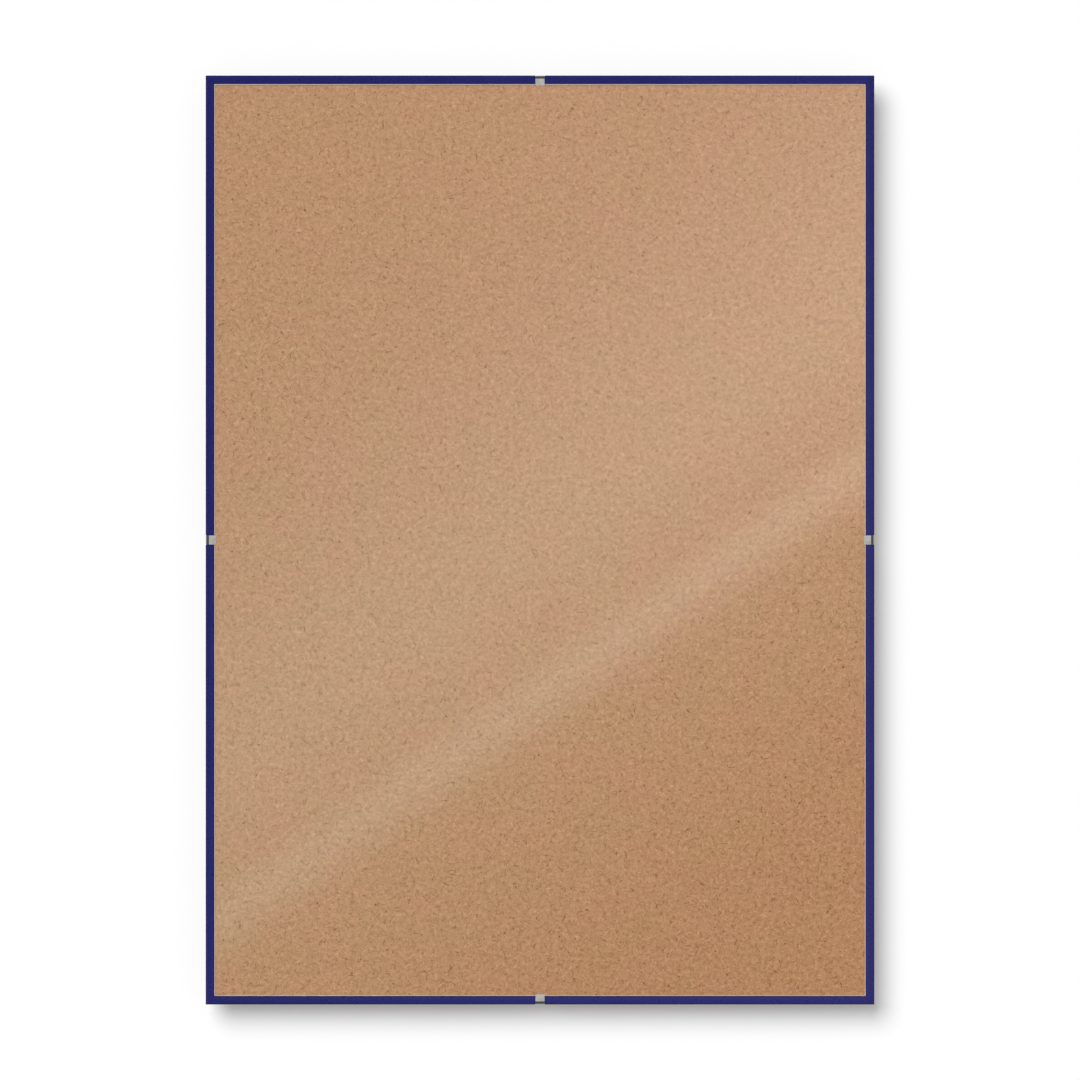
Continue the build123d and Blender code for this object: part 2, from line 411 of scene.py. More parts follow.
@dataclass(frozen=True)
class KraftPaper(Finish):
    """Plain brown kraft paper: cloudy pulp, short fibres lying every way, and dark flecks.

    The patterns make one tone about 0. It moves red, green and blue by their shares of swing.
    """

    name: str = "kraft_paper"
    colour: Colour = (0.465, 0.2507, 0.1215)
    rosy: Colour = (0.479, 0.2453, 0.1255)
    rosy_patches: Pattern = Pattern(42 * MM)
    rosy_shift: Triple = (3.0, 5.0, 0.0)
    rosy_span: Span = (0.35, 0.65)
    swing: Colour = (0.375, 0.253, 0.160)
    pulp: Pattern = Pattern(3.4 * MM, 2.0, 0.65)
    pulp_strength: float = 0.70
    clouds: Pattern = Pattern(45 * MM, 3.0, 0.55)
    cloud_strength: float = 0.05
    fibre_layers: tuple[FibreLayer, ...] = (
        FibreLayer(2.4 * MM, 3.4 * MM, 0.55),
        FibreLayer(2.9 * MM, 4.4 * MM, 0.55),
        FibreLayer(4.2 * MM, 6.0 * MM, 0.58),
        FibreLayer(5.6 * MM, 5.0 * MM, -0.30),
        FibreLayer(11.0 * MM, 7.0 * MM, -0.55),
    )
    layer_shift: Triple = (0.37, 0.61, 0.0)
    fibre_core: float = 0.12 * MM
    fibre_rim: float = 0.48 * MM
    fibre_sag: float = 1.6
    fibre_taper: float = 1 / 6
    fibre_height: float = 0.4
    fleck_spacing: float = 9.0 * MM
    fleck_size: float = 0.9 * MM
    fleck_core: float = 0.4
    fleck_rag: float = 0.12
    fleck_strength: float = -0.5
    relief: float = 0.02 * MM
    roughness: float = 0.9
    gloss: float = 0.08

    def fibres(self, g: Graph, where: Socket, layer: FibreLayer) -> tuple[Socket, Socket]:
        """One short, slightly bent fibre in each cell of a random mesh.

        Args:
            g: The graph to add to.
            where: Place on the sheet, as x and y.
            layer: The kind of fibre. The shortest are half as long as the longest.

        Returns:
            A mask that is 1 on a fibre, and each fibre's random tone from 0 to 1.
        """
        mesh, (turn, size, tone) = g.cells(where, layer.spacing)
        local = g.add("VectorMath", {0: where, 1: mesh.outputs["Position"]}, operation="SUBTRACT")
        angle = g.math("MULTIPLY", turn, 2 * math.pi)
        turned = g.add("VectorRotate", {"Vector": local.outputs[0], "Angle": angle}, rotation_type="Z_AXIS")
        along, across, _ = g.add("SeparateXYZ", {0: turned.outputs[0]}).outputs
        sag = g.math("MULTIPLY", g.centred(size), self.fibre_sag / layer.length)
        bent = g.math("ADD", across, g.math("MULTIPLY", sag, g.math("MULTIPLY", along, along)))
        half_length = g.math("MULTIPLY", g.math("ADD", size, 1.0), layer.length / 4)
        inside = g.math("SUBTRACT", half_length, g.math("ABSOLUTE", along))
        ends = g.span(inside, (0.0, self.fibre_taper * layer.length))
        body = g.span(g.math("ABSOLUTE", bent), (self.fibre_core, self.fibre_rim), (1.0, 0.0))
        return g.math("MULTIPLY", ends, body), tone

    def flecks(self, g: Graph, where: Socket, pulp: Socket) -> Socket:
        """Dark flecks whose rims follow the pulp.

        Args:
            g: The graph to add to.
            where: Place on the sheet, as x and y.
            pulp: The pulp's pattern.

        Returns:
            A mask that is 1 on a fleck.
        """
        mesh, (size, _, _) = g.cells(where, self.fleck_spacing)
        reach = g.math("MULTIPLY", size, self.fleck_size / self.fleck_spacing)
        core = g.math("MULTIPLY", reach, self.fleck_core)
        ragged = g.math("MULTIPLY_ADD", g.centred(pulp), self.fleck_rag, mesh.outputs["Distance"])
        return g.span(ragged, (core, reach), (1.0, 0.0))

    def shader(self, g: Graph) -> bpy.types.Node:
        """Builds paper from pulp, clouds, the layers of fibres, flecks and rosy patches.

        Args:
            g: The graph to add to.

        Returns:
            The shader.
        """
        x, _, z = g.place()
        flat = g.add("CombineXYZ", {0: x, 1: z}).outputs[0]
        pulp = g.noise(self.pulp, flat)
        clouds = g.noise(self.clouds, flat)
        tone = g.math("MULTIPLY", g.centred(pulp), self.pulp_strength)
        tone = g.math("MULTIPLY_ADD", g.centred(clouds), self.cloud_strength, tone)
        height = pulp
        for number, layer in enumerate(self.fibre_layers, start=1):
            shift = [number * step for step in self.layer_shift]
            mask, chance = self.fibres(g, g.moved(flat, shift), layer)
            lift = g.centred(chance) if layer.strength > 0 else chance
            tone = g.math("MULTIPLY_ADD", g.math("MULTIPLY", mask, lift), layer.strength, tone)
            height = g.math("MULTIPLY_ADD", mask, self.fibre_height, height)
        tone = g.math("MULTIPLY_ADD", self.flecks(g, flat, pulp), self.fleck_strength, tone)
        patches = g.noise(self.rosy_patches, g.moved(flat, self.rosy_shift))
        base = g.blend(g.span(patches, self.rosy_span), self.colour, self.rosy)
        colour = g.add("VectorMath", {0: tone, 1: self.swing, 2: base}, operation="MULTIPLY_ADD").outputs[0]
        return g.add("BsdfPrincipled", {
            "Base Color": colour,
            "Roughness": self.roughness,
            "Specular IOR Level": self.gloss,
            "Normal": g.bump(height, self.relief),
        })


@dataclass(frozen=True)
class BluePlastic(Finish):
    """The strips' dark-blue extruded plastic, with faint die lines along each strip.

    The paler colour's share adds up from the die lines, a slow drift and a painted lightening
    towards the frame's lower right. The front face carries painted light across its width: a
    painted highlight line near its outer edge and painted shade at both edges, fading out
    towards face_end, behind that face.
    """

    grain: Grain
    colour: Colour = (0.0072, 0.0083, 0.124)
    pale: Colour = (0.023, 0.024, 0.172)
    pale_span: Span = (0.22, 0.82)
    die_lines: Pattern = Pattern(0.9 * MM, 3.0, 0.6)
    die_share: float = 0.45
    die_depth: float = 0.012 * MM
    drift: Pattern = Pattern(35 * MM)
    drift_share: float = 0.3
    painted_corner_light: float = 0.28
    fine: Pattern = Pattern(0.35 * MM, 2.0)
    fine_depth: float = 0.004 * MM
    rubbed: Pattern = Pattern(7 * MM, 5.0, 0.65, shift=(0.4, 0.1, 0.7))
    rubbed_span: Span = (0.35, 0.75)
    roughness: Span = (0.26, 0.46)
    face_width: float = 6.5 * MM
    face_end: float = -3.3 * MM
    face_fade: float = 1.2 * MM
    painted_face_light: Stops = (
        (0.0, 0.35), (0.10, 0.45), (0.17, 1.0), (0.24, 0.92),
        (0.38, 0.74), (0.62, 0.84), (0.84, 0.94), (0.95, 0.6),
    )
    ior: float = 1.46
    gloss: float = 0.34

    @property
    def name(self) -> str:
        """The finish's name, with its grain."""
        return f"blue_plastic_{self.grain.label}"

    def plain_colour(self, g: Graph, lines: Socket) -> Socket:
        """The colour before the face's painted light.

        Args:
            g: The graph to add to.
            lines: The die lines' pattern.

        Returns:
            The colour between the dark and the paler blue.
        """
        low, high = CAD_BOX
        x, _, z = g.place()
        # Painted light: a lightening of the strips that grows towards the frame's lower right.
        rightward = g.math("DIVIDE", x, high.x - low.x)
        painted_light_cornerward = g.math("SUBTRACT", rightward, g.math("DIVIDE", z, high.z - low.z))
        share = g.math("MULTIPLY", g.noise(self.drift), self.drift_share)
        share = g.math("MULTIPLY_ADD", lines, self.die_share, share)
        share = g.math("MULTIPLY_ADD", painted_light_cornerward, self.painted_corner_light, share)
        return g.blend(g.span(share, self.pale_span), self.colour, self.pale)

    def shader(self, g: Graph) -> bpy.types.Node:
        """Builds plastic with drifting colour, die lines, painted light, and rubbed patches that shine less.

        Args:
            g: The graph to add to.

        Returns:
            The shader.
        """
        lines = g.noise(self.die_lines.along(self.grain))
        plain = self.plain_colour(g, lines)
        # Painted light across the front face: a painted highlight line near its outer edge and painted shade
        # at both edges.
        across = g.math("DIVIDE", g.depth_inside(*CAD_BOX), self.face_width, clamp=True)
        painted_face = g.blend(1.0, plain, g.ramp(across, self.painted_face_light, "EASE"), "MULTIPLY")
        _, y, _ = g.place()
        on_face = g.span(y, (self.face_end - self.face_fade, self.face_end), (1.0, 0.0))
        return g.add("BsdfPrincipled", {
            "Base Color": g.blend(on_face, plain, painted_face),
            "Roughness": g.span(g.noise(self.rubbed), self.rubbed_span, self.roughness),
            "IOR": self.ior,
            "Specular IOR Level": self.gloss,
            "Normal": g.bump(g.noise(self.fine), self.fine_depth, g.bump(lines, self.die_depth)),
        })


@dataclass(frozen=True)
class ZincSteel(Finish):
    """The clips' zinc-plated spring steel, rolled along its length, with painted shade at the bend.

    The painted shade is read by how far a place lies behind the lip's front.
    """

    grain: Grain
    lip_front: float
    colour: Colour = (0.95, 0.92, 0.885)
    dull: Colour = (0.745, 0.715, 0.685)
    dull_span: Span = (0.35, 0.65)
    rolling: Pattern = Pattern(0.35 * MM, 4.0, 0.65)
    rolling_depth: float = 0.006 * MM
    plating: Pattern = Pattern(1.8 * MM, 4.0, 0.6)
    plating_share: float = 0.6
    rough_span: Span = (0.3, 0.7)
    roughness: Span = (0.27, 0.4)
    painted_bend_shade: Colour = (0.085, 0.087, 0.08)
    painted_shade_depth: float = 3.0 * MM
    painted_shade_stops: Stops = ((0.0, 0.0), (0.008, 0.0), (0.018, 1.0), (0.3, 0.6), (0.62, 0.15), (1.0, 0.0))
    painted_shade_roughness: float = 0.25

    @property
    def name(self) -> str:
        """The finish's name, with its grain."""
        return f"zinc_steel_{self.grain.label}"

    def shader(self, g: Graph) -> bpy.types.Node:
        """Builds steel with rolling lines, cloudy plating, and painted shade where the bend begins.

        Args:
            g: The graph to add to.

        Returns:
            The shader.
        """
        lines = g.noise(self.rolling.along(self.grain))
        share = g.weigh(g.noise(self.plating), lines, self.plating_share)
        metal = g.blend(g.span(share, self.dull_span), self.dull, self.colour)
        rough = g.span(share, self.rough_span, self.roughness)
        # Painted shade: a dark band where the bend begins, read by depth behind the lip's front; the steel
        # is also rougher there.
        _, y, _ = g.place()
        depth = g.math("SUBTRACT", y, self.lip_front)
        painted_shade = g.ramp(g.math("DIVIDE", depth, self.painted_shade_depth, clamp=True), self.painted_shade_stops, "LINEAR")
        return g.add("BsdfPrincipled", {
            "Base Color": g.blend(painted_shade, metal, self.painted_bend_shade),
            "Metallic": 1.0,
            "Roughness": g.math("MULTIPLY_ADD", painted_shade, self.painted_shade_roughness, rough),
            "Normal": g.bump(lines, self.rolling_depth),
        })


@dataclass(frozen=True)
class NickelSteel(Finish):
    """The hangers' nickel-plated steel, with scuffs from the press and from handling."""

    name: str
    colour: Colour
    dull: Colour
    roughness: Span
    dull_span: Span = (0.35, 0.65)
    rough_span: Span = (0.3, 0.7)
    patches: Pattern = Pattern(2.5 * MM, 4.0, 0.6)
    patch_share: float = 0.6
    scuffs: Pattern = Pattern(0.3 * MM, 4.0, 0.7, stretch=(1.0, 0.4, 0.06))
    scuff_depth: float = 0.004 * MM

    def shader(self, g: Graph) -> bpy.types.Node:
        """Builds steel with warm plating, duller patches and fine scuffs.

        Args:
            g: The graph to add to.

        Returns:
            The shader.
        """
        scuffs = g.noise(self.scuffs)
        share = g.weigh(g.noise(self.patches), scuffs, self.patch_share)
        return g.add("BsdfPrincipled", {
            "Base Color": g.blend(g.span(share, self.dull_span), self.dull, self.colour),
            "Metallic": 1.0,
            "Roughness": g.span(share, self.rough_span, self.roughness),
            "Normal": g.bump(scuffs, self.scuff_depth),
        })


@dataclass(frozen=True)
class Hardboard(Finish):
    """Pressed fibre board: smooth in front, with the press screen's mesh on its rear face."""

    name: str = "hardboard"
    colour: Colour = (0.205, 0.112, 0.055)
    dark: Colour = (0.115, 0.060, 0.030)
    dark_span: Span = (0.3, 0.7)
    fibres: Pattern = Pattern(1.6 * MM, 5.0, 0.7, stretch=(0.35, 1.0, 1.0))
    fibre_depth: float = 0.05 * MM
    clouds: Pattern = Pattern(30 * MM, 4.0, 0.6)
    cloud_share: float = 0.25
    screen_pitch: float = 1.3 * MM
    screen_depth: float = 0.12 * MM
    screen_shade: float = 0.35
    rear_skin: float = 0.05 * MM
    rough_span: Span = (0.3, 0.7)
    roughness: Span = (0.78, 0.62)
    gloss: float = 0.25

    def screen(self, g: Graph) -> Socket:
        """The woven screen's print.

        Args:
            g: The graph to add to.

        Returns:
            A mask that is 1 along the screen's wires, and 0 between them and off the rear face.
        """
        x, y, z = g.place()
        rear = g.math("GREATER_THAN", y, -self.rear_skin)
        waves = []
        for place in (x, z):
            waves.append(g.math("COSINE", g.math("MULTIPLY", place, 2 * math.pi / self.screen_pitch)))
        wires = g.math("MULTIPLY_ADD", g.math("MAXIMUM", *waves), 0.5, 0.5)
        return g.math("MULTIPLY", wires, rear)

    def shader(self, g: Graph) -> bpy.types.Node:
        """Builds board with matted fibres, clouds and the woven screen's print.

        Args:
            g: The graph to add to.

        Returns:
            The shader.
        """
        screen = self.screen(g)
        fibres = g.noise(self.fibres)
        share = g.weigh(g.noise(self.clouds), fibres, self.cloud_share)
        plain = g.blend(g.span(share, self.dark_span), self.dark, self.colour)
        matted = g.bump(fibres, self.fibre_depth)
        return g.add("BsdfPrincipled", {
            "Base Color": g.blend(g.math("MULTIPLY", screen, self.screen_shade), plain, self.dark),
            "Roughness": g.span(fibres, self.rough_span, self.roughness),
            "Specular IOR Level": self.gloss,
            "Normal": g.bump(g.math("SUBTRACT", 1.0, screen), self.screen_depth, matted),
        })


@dataclass(frozen=True)
class StudioWhite(Finish):
    """The white of the wall and floor: it takes the object's shadow, and is clear from behind."""

    name: str = "studio_white"
    white: float = 0.73
    glow: float = 0.24

    def shader(self, g: Graph) -> bpy.types.Node:
        """Builds matt white with a little light of its own.

        Args:
            g: The graph to add to.

        Returns:
            The shader.
        """
        lit = g.add("BsdfDiffuse", {"Color": (self.white, self.white, self.white, 1.0)})
        glow = g.add("Emission", {"Strength": self.glow})
        front = g.add("AddShader", {0: lit.outputs[0], 1: glow.outputs[0]})
        behind = g.add("NewGeometry").outputs["Backfacing"]
        return g.either(behind, front, g.add("BsdfTransparent"))


@dataclass(frozen=True)
class SoftboxLight(Finish):
    """The reflection card's light: bands that cross the pane aslant.

    Attributes:
        scale: How many times larger the card's pattern is than its image on the pane.
        level: How strong the brightest band is.
        tilt: How much stronger the light is at the frame's right side than in its middle.
        cool: The tint towards the lower left.
        warm: The tint towards the upper right.
        tint_span: Where the tint changes, as shares of the pane's width and height added up.
        band_drop: How far below the frame's middle the bands' zero line passes.
        band_rise: How steeply the bands rise to the right, in degrees.
        band_stops: Places across the bands, in millimetres on the pane, and how bright they are.
    """

    scale: float
    name: str = "softbox_light"
    level: float = 1.325
    tilt: float = 0.2
    cool: Colour = (0.74, 1.04, 0.93)
    warm: Colour = (1.06, 1.0, 0.90)
    tint_span: Span = (-0.6, 1.0)
    band_drop: float = 118.3 * MM
    band_rise: float = 35.1
    band_stops: Stops = (
        (-310, 0.0), (-170, 0.10), (-77, 0.285), (-46, 0.35), (-27, 0.50), (-9, 0.85), (1, 1.0),
        (13, 0.87), (30, 0.70), (96, 0.905), (170, 0.81), (260, 0.62), (350, 0.49), (540, 0.415),
    )

    def bands(self, g: Graph, x: Socket, up: Socket) -> Socket:
        """How bright the bands are.

        Args:
            g: The graph to add to.
            x: Place on the card, to the right.
            up: Place on the card, upwards from the bands' zero line.

        Returns:
            The brightness from 0 to 1.
        """
        rise = math.radians(self.band_rise)
        rightward = g.math("MULTIPLY", x, math.sin(rise))
        away = g.math("SUBTRACT", g.math("MULTIPLY", up, math.cos(rise)), rightward)
        start = self.band_stops[0][0]
        length = self.band_stops[-1][0] - start
        inside = g.math("SUBTRACT", away, start * MM * self.scale)
        share = g.math("DIVIDE", inside, length * MM * self.scale, clamp=True)
        stops = [((place - start) / length, level) for place, level in self.band_stops]
        return g.ramp(share, stops, "CARDINAL")

    def shader(self, g: Graph) -> bpy.types.Node:
        """Builds light from the bands, the tilt and the tint.

        Args:
            g: The graph to add to.

        Returns:
            The shader.
        """
        low, high = CAD_BOX
        half_width = (high.x - low.x) / 2
        pane_low, pane_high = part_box("front_pane")
        pane = pane_high - pane_low
        x, _, z = g.place()
        up = g.math("ADD", z, self.band_drop * self.scale - (low.z + high.z) / 2)
        tilt = g.math("MULTIPLY_ADD", x, self.tilt / (half_width * self.scale), 1.0)
        level = g.math("MULTIPLY", self.bands(g, x, up), g.math("MULTIPLY", tilt, self.level))
        aslant = g.math("ADD", g.math("DIVIDE", x, pane.x), g.math("DIVIDE", up, pane.z))
        cool_end, warm_end = self.tint_span
        tinted = g.span(aslant, (cool_end * self.scale, warm_end * self.scale))
        return g.add("Emission", {"Color": g.blend(tinted, self.cool, self.warm), "Strength": level})


class Bench:
    """The modelling bench: starts pieces, selects on them and finishes them.

    Attributes:
        NEAR: How close two points are that count as one.
        SHARP: The turn above which an edge is broken.
        SOFT: The turn below which two faces are smoothed into one.
        EDGE_STEPS: How many steps a broken edge has.
        TO_FRONT: The turn about X that brings a flat piece's upper face to the front.
    """

    NEAR = 0.01 * MM
    SHARP = math.radians(50)
    SOFT = math.radians(35)
    EDGE_STEPS = 2
    TO_FRONT = math.pi / 2

    @staticmethod
    def clear() -> None:
        """Leaves edit mode and deselects everything."""
        if bpy.context.object and bpy.context.object.mode != "OBJECT":
            bpy.ops.object.mode_set(mode="OBJECT")
        bpy.ops.object.select_all(action="DESELECT")

    @staticmethod
    def take(piece: bpy.types.Object) -> None:
        """Makes a piece the only one selected.

        Args:
            piece: The piece to work on.
        """
        Bench.clear()
        piece.select_set(True)
        bpy.context.view_layer.objects.active = piece

    @staticmethod
    @contextmanager
    def editing(piece: bpy.types.Object, mode: str = "EDGE") -> Iterator[None]:
        """Edit mode on one piece, with nothing selected at first.

        Args:
            piece: The piece to edit.
            mode: What is selected: VERT, EDGE or FACE.
        """
        Bench.take(piece)
        bpy.ops.object.mode_set(mode="EDIT")
        bpy.ops.mesh.select_mode(type=mode)
        bpy.ops.mesh.select_all(action="DESELECT")
        yield
        bpy.ops.object.mode_set(mode="OBJECT")

    @staticmethod
    def pick(piece: bpy.types.Object, kind: str, test: Callable[[Any], bool]) -> int:
        """Selects the verts, edges or faces that pass a test, and nothing else.

        Args:
            piece: The piece in edit mode.
            kind: Which of the mesh's lists to go through: verts, edges or faces.
            test: Says yes or no to one of them.

        Returns:
            How many were selected.
        """
        bpy.ops.mesh.select_all(action="DESELECT")
        mesh = bmesh.from_edit_mesh(piece.data)
        chosen = [item for item in getattr(mesh, kind) if test(item)]
        for item in chosen:
            item.select_set(True)
        mesh.select_flush_mode()
        bmesh.update_edit_mesh(piece.data)
        return len(chosen)

    @staticmethod
    def apply(piece: bpy.types.Object, kind: str, **settings: Any) -> None:
        """Adds a modifier and applies it.

        Args:
            piece: The piece to change.
            kind: The modifier's type.
            settings: The modifier's own settings.
        """
        Bench.take(piece)
        modifier = piece.modifiers.new(kind.title(), kind)
        for name, value in settings.items():
            setattr(modifier, name, value)
        bpy.ops.object.modifier_apply(modifier=modifier.name)

    @staticmethod
    def settle(piece: bpy.types.Object) -> None:
        """Moves the piece's place, turn and scale into its mesh."""
        Bench.take(piece)
        bpy.ops.object.transform_apply(location=True, rotation=True, scale=True)

    @staticmethod
    def flat(name: str, size: Span, centre: Sequence[float], turn: float) -> bpy.types.Object:
        """Cuts a flat rectangle.

        Args:
            name: Its name.
            size: Its size along X and, before it is turned, along Y.
            centre: Where its middle lies.
            turn: How far it is turned about X, in radians.

        Returns:
            The rectangle, without thickness.
        """
        Bench.clear()
        bpy.ops.mesh.primitive_plane_add(size=1.0, location=centre, rotation=(turn, 0.0, 0.0))
        piece = bpy.context.active_object
        piece.name = piece.data.name = name
        piece.scale = (*size, 1.0)
        Bench.settle(piece)
        return piece

    @staticmethod
    def strip(name: str, path: Sequence[Vector], width: float) -> bpy.types.Object:
        """Lays a flat strip along a path in the YZ plane, its width along X.

        Args:
            name: The strip's name.
            path: The corners of the path.
            width: The strip's width.

        Returns:
            The strip, without thickness.
        """
        first, second = path[:2]
        run = second - first
        strip = Bench.flat(name, (width, run.length), (first + second) / 2, math.atan2(run.z, run.y))
        with Bench.editing(strip):
            Bench.pick_line(strip, second)
            for start, end in zip(path[1:], path[2:]):
                Bench.push(end - start)
        return strip

    @staticmethod
    def is_at(vert: bmesh.types.BMVert, corner: Vector) -> bool:
        """True for a point of a strip that lies at a corner of its path."""
        return (vert.co - corner).yz.length < Bench.NEAR

    @staticmethod
    def pick_line(strip: bpy.types.Object, corner: Vector) -> None:
        """Selects the edge that crosses a strip at a corner of its path."""
        Bench.pick(strip, "edges", lambda edge: all(Bench.is_at(vert, corner) for vert in edge.verts))

    @staticmethod
    def round_end(strip: bpy.types.Object, end: Vector, radius: float, steps: int) -> None:
        """Rounds the two corners at an end of a flat strip.

        Args:
            strip: The flat strip.
            end: The end of its path.
            radius: How far the corners are rounded.
            steps: How many steps each round has.
        """
        with Bench.editing(strip, "VERT"):
            Bench.pick(strip, "verts", lambda vert: Bench.is_at(vert, end))
            bpy.ops.mesh.bevel(offset=radius, segments=steps, affect="VERTICES")

    @staticmethod
    def thicken(strip: bpy.types.Object, thickness: float, edge: float) -> None:
        """Gives a strip its thickness to both sides, breaks its edges and smooths its bends.

        Args:
            strip: The flat strip.
            thickness: The sheet's thickness.
            edge: How far its edges are broken.
        """
        sharp = {"limit_method": "ANGLE", "angle_limit": Bench.SHARP}
        Bench.apply(strip, "SOLIDIFY", thickness=thickness, offset=0.0, use_even_offset=True)
        Bench.apply(strip, "BEVEL", width=edge, segments=Bench.EDGE_STEPS, **sharp)
        Bench.smooth(strip)

    @staticmethod
    def push(way: Vector) -> None:
        """Extrudes what is selected, straight along a way."""
        bpy.ops.mesh.extrude_region_move(TRANSFORM_OT_translate={"value": way})

    @staticmethod
    def bend_round(centre: Vector, turn: float, steps: int) -> None:
        """Extrudes what is selected round a centre, by a turn in degrees from +X towards +Z."""
        bpy.ops.mesh.spin(steps=steps, angle=math.radians(turn), center=centre, axis=(0.0, 1.0, 0.0))

    @staticmethod
    def smooth(piece: bpy.types.Object) -> None:
        """Turns all faces outwards and smooths the round ones.

        Args:
            piece: The finished piece.
        """
        with Bench.editing(piece, "FACE"):
            bpy.ops.mesh.select_all(action="SELECT")
            bpy.ops.mesh.normals_make_consistent(inside=False)
        Bench.take(piece)
        bpy.ops.object.shade_smooth_by_angle(angle=Bench.SOFT)

    @staticmethod
    def copy(piece: bpy.types.Object, name: str, move: Matrix) -> bpy.types.Object:
        """A copy of a finished piece with a mesh of its own, moved to another place.

        Args:
            piece: The piece to copy.
            name: The copy's name.
            move: The move from the piece's place to the copy's.

        Returns:
            The copy.
        """
        Bench.take(piece)
        bpy.ops.object.duplicate(linked=False)
        made = bpy.context.active_object
        made.name = made.data.name = name
        made.matrix_world = move
        Bench.settle(made)
        return made


def dress(piece: bpy.types.Object, material: bpy.types.Material) -> None:
    """Gives a piece or a node one finish all over, and reports it.

    Args:
        piece: The piece or node.
        material: Its finish.
    """
    slots = piece.data.materials
    if len(slots) == 0:
        slots.append(material)
    for index in range(len(slots)):
        slots[index] = material
    LOG.info("%s: dressed in %s", piece.name, material.name)


def stand_in(piece: bpy.types.Object, node: str, body: str) -> None:
    """Lets a finished piece ride on a body in place of a node, and reports it.

    Args:
        piece: The new piece.
        node: The node that it replaces.
        body: The body that it moves with.
    """
    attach(piece, body)
    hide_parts(node)
    LOG.info("%s: %d faces, for %s on %s", piece.name, len(piece.data.polygons), node, body)


@dataclass
class PictureStack:
    """The pane, the brown sheet behind it and the board at the back."""

    sheet_gap: float = 0.05 * MM
    sheet_edge: float = 0.08 * MM
    sheet_inset: float = 0.4 * MM

    def build_sheet(self) -> bpy.types.Object:
        """Cuts the sheet, a little inside its node so that no face lies on the pane.

        Returns:
            The sheet.
        """
        low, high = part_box("insert_sheet")
        width = high.x - low.x - 2 * self.sheet_inset
        height = high.z - low.z - 2 * self.sheet_inset
        thickness = high.y - low.y - 2 * self.sheet_gap
        sheet = Bench.flat("kraft_sheet", (width, height), (low + high) / 2, Bench.TO_FRONT)
        Bench.apply(sheet, "SOLIDIFY", thickness=thickness, offset=0.0)
        Bench.apply(sheet, "BEVEL", width=self.sheet_edge, segments=Bench.EDGE_STEPS)
        return sheet

    def build(self) -> None:
        """Builds the sheet and dresses the stack."""
        sheet = self.build_sheet()
        dress(sheet, KraftPaper().material())
        stand_in(sheet, "insert_sheet", "frame")
        dress(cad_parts["front_pane"], ClearGlass().material())
        dress(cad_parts["back_board"], Hardboard().material())


@dataclass
class EdgeStrips:
    """The four mitred plastic strips round the edge."""

    def build(self) -> None:
        """Dresses each strip with die lines along its own length."""
        finishes = {grain: BluePlastic(grain).material() for grain in Grain}
        for side in Side:
            grain = Grain.ALONG_Z if side.upright else Grain.ALONG_X
            dress(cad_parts[f"edge_strip_{side.label}"], finishes[grain])


@dataclass(frozen=True)
class Corner:
    """A corner in the path of a clip's sheet.

    Attributes:
        inward: How far it lies inwards from the frame's outer face.
        back: How far it lies behind the pane's front face.
        radius: The radius to which the sheet is bent there. The path's ends have none.
        steps: How many flat steps the bend has.
    """

    inward: float
    back: float
    radius: float = 0.0
    steps: int = 0


